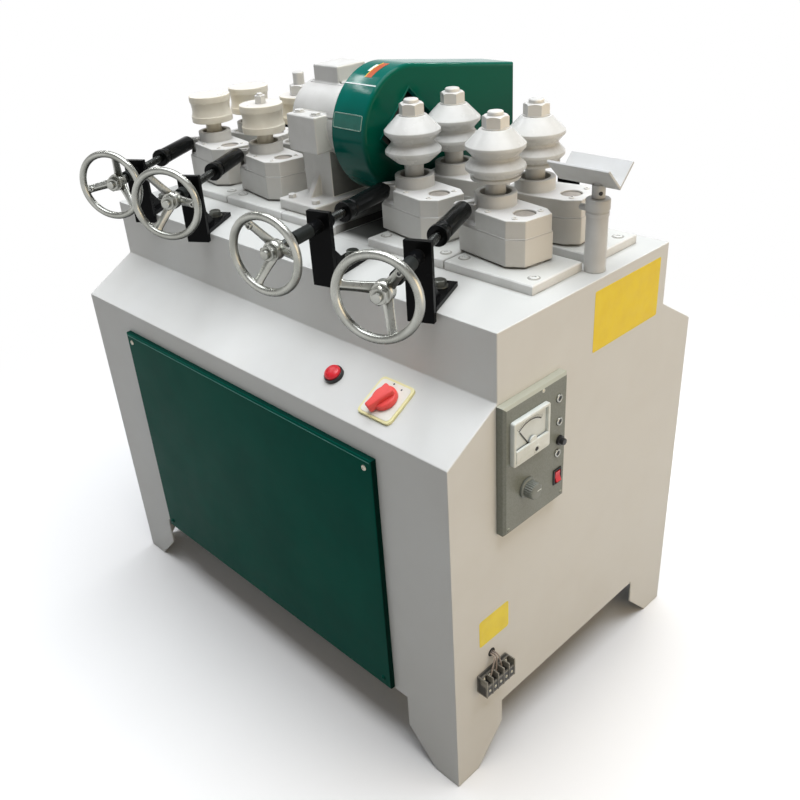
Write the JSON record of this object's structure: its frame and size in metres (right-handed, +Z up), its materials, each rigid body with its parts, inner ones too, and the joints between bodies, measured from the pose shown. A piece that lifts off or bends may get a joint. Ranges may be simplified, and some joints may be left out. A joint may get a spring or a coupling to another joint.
{
  "type": "handle making machine",
  "caption": "Round rod and tool handle making machine: sheet-metal cabinet, paired feed rollers on swinging arms with handwheels, hollow cutter head with belt cover, infeed trough and controls.",
  "frame": {"origin": "on the floor, under the middle of the machine's footprint box", "axes": "+Z up, -Y towards the operator and the handwheels, the stock runs towards -X"},
  "size_m": [1.035, 0.7218, 1.095],
  "materials": {
    "cabinet_grey": "textured light grey paint",
    "panel_green": "semi-gloss dark green paint",
    "casting_grey": "cast and painted light grey",
    "plate_grey": "painted light grey",
    "steel": "turned",
    "chrome": "polished",
    "black_gloss": "gloss black paint",
    "cover_green": "gloss green paint",
    "belt_rubber": "matt",
    "bumper_black": "black",
    "motor_grey": "painted grey",
    "control_grey": "matt grey-green",
    "meter_white": "gloss",
    "bezel_black": "gloss",
    "roller_white": "painted off-white",
    "bolt_zinc": "zinc plated",
    "needle_red": "matt",
    "knob_grey": "matt",
    "fuse_black": "gloss",
    "rocker_red": "gloss",
    "terminal_black": "matt",
    "wire_skin": "smooth",
    "switch_white": "gloss",
    "switch_red": "gloss",
    "trough_grey": "painted light grey"
  },
  "bodies": {
    "machine": {"cabinet": "cabinet_grey", "front_panel": "panel_green", "base_plates": "plate_grey", "pivot_posts": "steel", "screw_brackets": "black_gloss", "rear_stops": "bumper_black", "hex_bolts": "bolt_zinc", "cutter_housing": "casting_grey", "belt_cover": "cover_green", "drive_belts": "belt_rubber", "main_motor": "motor_grey", "motor_seat": "plate_grey", "controller_box": "control_grey", "meter_case": "meter_white", "fuse_holder": "fuse_black", "terminal_block": "terminal_black", "terminal_wires": "wire_skin", "switch_plate": "switch_white", "button_bezel": "bezel_black", "trough_post": "plate_grey", "line_bearings": "casting_grey", "feed_motor": "motor_grey"},
    "spindle": {"cutter_spindle": "steel"},
    "motor_shaft": {"motor_pulley": "casting_grey"},
    "line_shaft": {"line_shaft": "steel"},
    "needle": {"meter_needle": "needle_red"},
    "speed_knob": {"speed_knob": "knob_grey"},
    "rocker": {"rocker": "rocker_red"},
    "switch_knob": {"switch_knob": "switch_red"},
    "button": {"button": "switch_red"},
    "trough": {"trough": "trough_grey"},
    "front_arm_infeed_near": {"front_arm_infeed_near": "casting_grey"},
    "rear_arm_infeed_near": {"rear_arm_infeed_near": "casting_grey"},
    "front_roller_infeed_near": {"front_roller_infeed_near": "roller_white"},
    "rear_roller_infeed_near": {"rear_roller_infeed_near": "roller_white"},
    "sleeve_infeed_near": {"sleeve_infeed_near": "black_gloss"},
    "wheel_infeed_near": {"handwheel_infeed_near": "chrome", "screw_infeed_near": "steel"},
    "front_arm_infeed_far": {"front_arm_infeed_far": "casting_grey"},
    "rear_arm_infeed_far": {"rear_arm_infeed_far": "casting_grey"},
    "front_roller_infeed_far": {"front_roller_infeed_far": "roller_white"},
    "rear_roller_infeed_far": {"rear_roller_infeed_far": "roller_white"},
    "sleeve_infeed_far": {"sleeve_infeed_far": "black_gloss"},
    "wheel_infeed_far": {"handwheel_infeed_far": "chrome", "screw_infeed_far": "steel"},
    "front_arm_outfeed_near": {"front_arm_outfeed_near": "casting_grey"},
    "rear_arm_outfeed_near": {"rear_arm_outfeed_near": "casting_grey"},
    "front_roller_outfeed_near": {"front_roller_outfeed_near": "roller_white"},
    "rear_roller_outfeed_near": {"rear_roller_outfeed_near": "roller_white"},
    "sleeve_outfeed_near": {"sleeve_outfeed_near": "black_gloss"},
    "wheel_outfeed_near": {"handwheel_outfeed_near": "chrome", "screw_outfeed_near": "steel"},
    "front_arm_outfeed_far": {"front_arm_outfeed_far": "casting_grey"},
    "rear_arm_outfeed_far": {"rear_arm_outfeed_far": "casting_grey"},
    "front_roller_outfeed_far": {"front_roller_outfeed_far": "roller_white"},
    "rear_roller_outfeed_far": {"rear_roller_outfeed_far": "roller_white"},
    "sleeve_outfeed_far": {"sleeve_outfeed_far": "black_gloss"},
    "wheel_outfeed_far": {"handwheel_outfeed_far": "chrome", "screw_outfeed_far": "steel"}
  },
  "joints": [
    {"name": "spindle_turn", "type": "hinge", "parent": "machine", "child": "spindle", "pos_m": [-0.0045, 0.08089, 0.987], "axis": [1, 0, 0], "continuous": true},
    {"name": "motor_turn", "type": "hinge", "parent": "machine", "child": "motor_shaft", "pos_m": [-0.0045, 0.27589, 0.945], "axis": [1, 0, 0], "continuous": true},
    {"name": "line_shaft_turn", "type": "hinge", "parent": "machine", "child": "line_shaft", "pos_m": [-0.0175, 0.08089, 0.759], "axis": [1, 0, 0], "continuous": true},
    {"name": "press_infeed_near", "type": "slide", "parent": "machine", "child": "sleeve_infeed_near", "axis": [0.2588, -0.9659, 0], "range_m": [-0.00234, 0.01668]},
    {"name": "wheel_infeed_near", "type": "hinge", "parent": "sleeve_infeed_near", "child": "wheel_infeed_near", "pos_m": [0.0945, 0.00189, 0.911], "axis": [0.2588, -0.9659, 0], "range_deg": [-210, 1500]},
    {"name": "front_arm_infeed_near", "type": "hinge", "parent": "machine", "child": "front_arm_infeed_near", "pos_m": [0.1927, 0.02172, 0.843], "axis": [0, 0, 1], "range_deg": [-1.45, 9.9]},
    {"name": "front_roller_infeed_near", "type": "hinge", "parent": "front_arm_infeed_near", "child": "front_roller_infeed_near", "pos_m": [0.1285, 0.03189, 0.934], "axis": [0, 0, 1], "continuous": true},
    {"name": "rear_arm_infeed_near", "type": "hinge", "parent": "machine", "child": "rear_arm_infeed_near", "pos_m": [0.1927, 0.14006, 0.843], "axis": [0, 0, -1], "range_deg": [-1.45, 9.9]},
    {"name": "rear_roller_infeed_near", "type": "hinge", "parent": "rear_arm_infeed_near", "child": "rear_roller_infeed_near", "pos_m": [0.1285, 0.12989, 0.934], "axis": [0, 0, 1], "continuous": true},
    {"name": "press_infeed_far", "type": "slide", "parent": "machine", "child": "sleeve_infeed_far", "axis": [0.4067, -0.9135, 0], "range_m": [-0.00234, 0.01668]},
    {"name": "wheel_infeed_far", "type": "hinge", "parent": "sleeve_infeed_far", "child": "wheel_infeed_far", "pos_m": [0.2695, 0.00189, 0.911], "axis": [0.4067, -0.9135, 0], "range_deg": [-210, 1500]},
    {"name": "front_arm_infeed_far", "type": "hinge", "parent": "machine", "child": "front_arm_infeed_far", "pos_m": [0.3677, 0.02172, 0.843], "axis": [0, 0, 1], "range_deg": [-1.45, 9.9]},
    {"name": "front_roller_infeed_far", "type": "hinge", "parent": "front_arm_infeed_far", "child": "front_roller_infeed_far", "pos_m": [0.3035, 0.03189, 0.934], "axis": [0, 0, 1], "continuous": true},
    {"name": "rear_arm_infeed_far", "type": "hinge", "parent": "machine", "child": "rear_arm_infeed_far", "pos_m": [0.3677, 0.14006, 0.843], "axis": [0, 0, -1], "range_deg": [-1.45, 9.9]},
    {"name": "rear_roller_infeed_far", "type": "hinge", "parent": "rear_arm_infeed_far", "child": "rear_roller_infeed_far", "pos_m": [0.3035, 0.12989, 0.934], "axis": [0, 0, 1], "continuous": true},
    {"name": "press_outfeed_near", "type": "slide", "parent": "machine", "child": "sleeve_outfeed_near", "axis": [0.5299, -0.848, 0], "range_m": [-0.00234, 0.01668]},
    {"name": "wheel_outfeed_near", "type": "hinge", "parent": "sleeve_outfeed_near", "child": "wheel_outfeed_near", "pos_m": [-0.3255, 0.00189, 0.911], "axis": [0.5299, -0.848, 0], "range_deg": [-210, 1500]},
    {"name": "front_arm_outfeed_near", "type": "hinge", "parent": "machine", "child": "front_arm_outfeed_near", "pos_m": [-0.2153, 0.02172, 0.843], "axis": [0, 0, 1], "range_deg": [-1.45, 9.9]},
    {"name": "front_roller_outfeed_near", "type": "hinge", "parent": "front_arm_outfeed_near", "child": "front_roller_outfeed_near", "pos_m": [-0.2795, 0.03189, 0.934], "axis": [0, 0, 1], "continuous": true},
    {"name": "rear_arm_outfeed_near", "type": "hinge", "parent": "machine", "child": "rear_arm_outfeed_near", "pos_m": [-0.2153, 0.14006, 0.843], "axis": [0, 0, -1], "range_deg": [-1.45, 9.9]},
    {"name": "rear_roller_outfeed_near", "type": "hinge", "parent": "rear_arm_outfeed_near", "child": "rear_roller_outfeed_near", "pos_m": [-0.2795, 0.12989, 0.934], "axis": [0, 0, 1], "continuous": true},
    {"name": "press_outfeed_far", "type": "slide", "parent": "machine", "child": "sleeve_outfeed_far", "axis": [0.5, -0.866, 0], "range_m": [-0.00234, 0.01668]},
    {"name": "wheel_outfeed_far", "type": "hinge", "parent": "sleeve_outfeed_far", "child": "wheel_outfeed_far", "pos_m": [-0.5005, 0.00189, 0.911], "axis": [0.5, -0.866, 0], "range_deg": [-210, 1500]},
    {"name": "front_arm_outfeed_far", "type": "hinge", "parent": "machine", "child": "front_arm_outfeed_far", "pos_m": [-0.3903, 0.02172, 0.843], "axis": [0, 0, 1], "range_deg": [-1.45, 9.9]},
    {"name": "front_roller_outfeed_far", "type": "hinge", "parent": "front_arm_outfeed_far", "child": "front_roller_outfeed_far", "pos_m": [-0.4545, 0.03189, 0.934], "axis": [0, 0, 1], "continuous": true},
    {"name": "rear_arm_outfeed_far", "type": "hinge", "parent": "machine", "child": "rear_arm_outfeed_far", "pos_m": [-0.3903, 0.14006, 0.843], "axis": [0, 0, -1], "range_deg": [-1.45, 9.9]},
    {"name": "rear_roller_outfeed_far", "type": "hinge", "parent": "rear_arm_outfeed_far", "child": "rear_roller_outfeed_far", "pos_m": [-0.4545, 0.12989, 0.934], "axis": [0, 0, 1], "continuous": true},
    {"name": "switch_turn", "type": "hinge", "parent": "machine", "child": "switch_knob", "pos_m": [0.3165, -0.2373, 0.68472], "axis": [0, -0.4863, 0.8738], "range_deg": [0, 90]},
    {"name": "button_press", "type": "slide", "parent": "machine", "child": "button", "axis": [0, 0.4863, -0.8738], "range_m": [0, 0.003], "stiffness_N_per_m": 300, "springref_m": -0.002},
    {"name": "speed_turn", "type": "hinge", "parent": "machine", "child": "speed_knob", "pos_m": [0.4985, -0.13211, 0.556], "axis": [1, 0, 0], "range_deg": [0, 300]},
    {"name": "rocker_tip", "type": "hinge", "parent": "machine", "child": "rocker", "pos_m": [0.4985, -0.05711, 0.537], "axis": [0, 1, 0], "range_deg": [0, 16]},
    {"name": "needle_swing", "type": "hinge", "parent": "machine", "child": "needle", "pos_m": [0.5065, -0.13011, 0.63], "axis": [-1, 0, 0], "range_deg": [0, 72]},
    {"name": "trough_lift", "type": "slide", "parent": "machine", "child": "trough", "axis": [0, 0, 1], "range_m": [0, 0.03]}
  ],
  "couplings": [
    {"joint": "motor_turn", "follows": "spindle_turn", "ratio": 0.96552},
    {"joint": "front_arm_infeed_near", "follows": "wheel_infeed_near", "ratio": 0.0063671},
    {"joint": "front_roller_infeed_near", "follows": "line_shaft_turn", "ratio": 0.05},
    {"joint": "rear_arm_infeed_near", "follows": "wheel_infeed_near", "ratio": 0.0063671},
    {"joint": "rear_roller_infeed_near", "follows": "line_shaft_turn", "ratio": -0.05},
    {"joint": "press_infeed_near", "follows": "wheel_infeed_near", "m_per_rad": 0.00063662},
    {"joint": "front_arm_infeed_far", "follows": "wheel_infeed_far", "ratio": 0.006511},
    {"joint": "front_roller_infeed_far", "follows": "line_shaft_turn", "ratio": 0.05},
    {"joint": "rear_arm_infeed_far", "follows": "wheel_infeed_far", "ratio": 0.006511},
    {"joint": "rear_roller_infeed_far", "follows": "line_shaft_turn", "ratio": -0.05},
    {"joint": "press_infeed_far", "follows": "wheel_infeed_far", "m_per_rad": 0.00063662},
    {"joint": "front_arm_outfeed_near", "follows": "wheel_outfeed_near", "ratio": 0.0061235},
    {"joint": "front_roller_outfeed_near", "follows": "line_shaft_turn", "ratio": 0.05},
    {"joint": "rear_arm_outfeed_near", "follows": "wheel_outfeed_near", "ratio": 0.0061235},
    {"joint": "rear_roller_outfeed_near", "follows": "line_shaft_turn", "ratio": -0.05},
    {"joint": "press_outfeed_near", "follows": "wheel_outfeed_near", "m_per_rad": 0.00063662},
    {"joint": "front_arm_outfeed_far", "follows": "wheel_outfeed_far", "ratio": 0.0060428},
    {"joint": "front_roller_outfeed_far", "follows": "line_shaft_turn", "ratio": 0.05},
    {"joint": "rear_arm_outfeed_far", "follows": "wheel_outfeed_far", "ratio": 0.0060428},
    {"joint": "rear_roller_outfeed_far", "follows": "line_shaft_turn", "ratio": -0.05},
    {"joint": "press_outfeed_far", "follows": "wheel_outfeed_far", "m_per_rad": 0.00063662}
  ]
}
